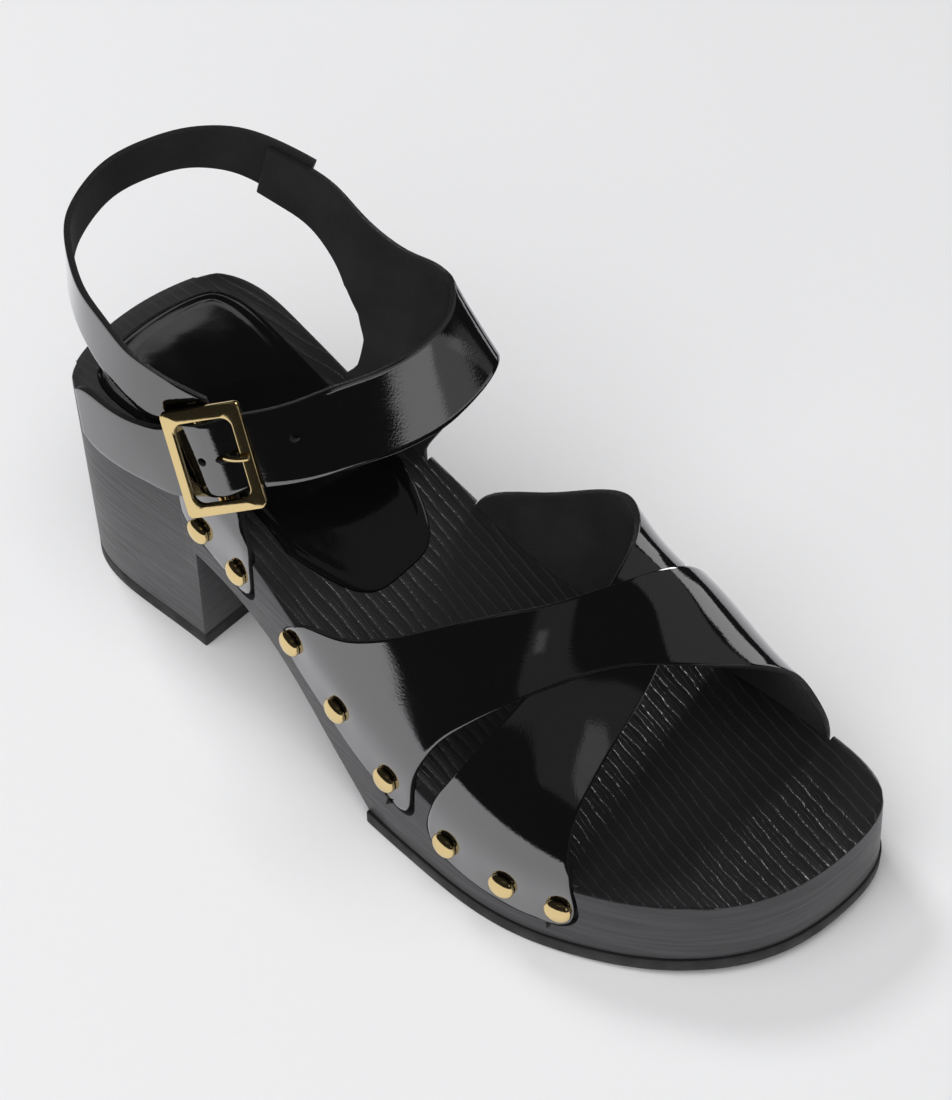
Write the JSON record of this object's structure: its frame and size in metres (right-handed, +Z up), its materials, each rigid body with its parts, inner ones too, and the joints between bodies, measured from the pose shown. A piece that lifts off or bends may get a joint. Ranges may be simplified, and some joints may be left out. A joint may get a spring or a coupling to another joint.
{
  "type": "patent leather sandal",
  "caption": "Right-foot black clog sandal: block heel, crossed vamp straps with domed side studs, and an ankle strap with a rectangular buckle.",
  "frame": {"origin": "on the floor under the middle of the shoe's bounding box", "axes": "+X from the heel to the toe, +Y to the inner (medial) side of the right foot, +Z up from the floor"},
  "size_m": [0.2598, 0.1004, 0.133],
  "materials": {
    "sole": "black satin with a brushed wood grain",
    "rubber": "matte black",
    "sock": "smooth glossy black",
    "patent": "black patent, mirror gloss",
    "gold": "pale gold plate, polished"
  },
  "bodies": {
    "root": {"clog_sole": "sole", "forefoot_outsole": "rubber", "heel_lift": "rubber", "heel_sock": "sock", "vamp_straps": "patent", "ankle_straps": "patent", "buckle_frame": "gold", "buckle_prong": "gold", "stud_lateral_1": "gold", "stud_lateral_2": "gold", "stud_lateral_3": "gold", "stud_lateral_4": "gold", "stud_lateral_5": "gold", "stud_lateral_6": "gold", "stud_lateral_7": "gold", "stud_lateral_8": "gold", "stud_medial_1": "gold", "stud_medial_2": "gold", "stud_medial_3": "gold", "stud_medial_4": "gold", "stud_medial_5": "gold", "stud_medial_6": "gold", "stud_medial_7": "gold", "stud_medial_8": "gold"}
  },
  "joints": []
}
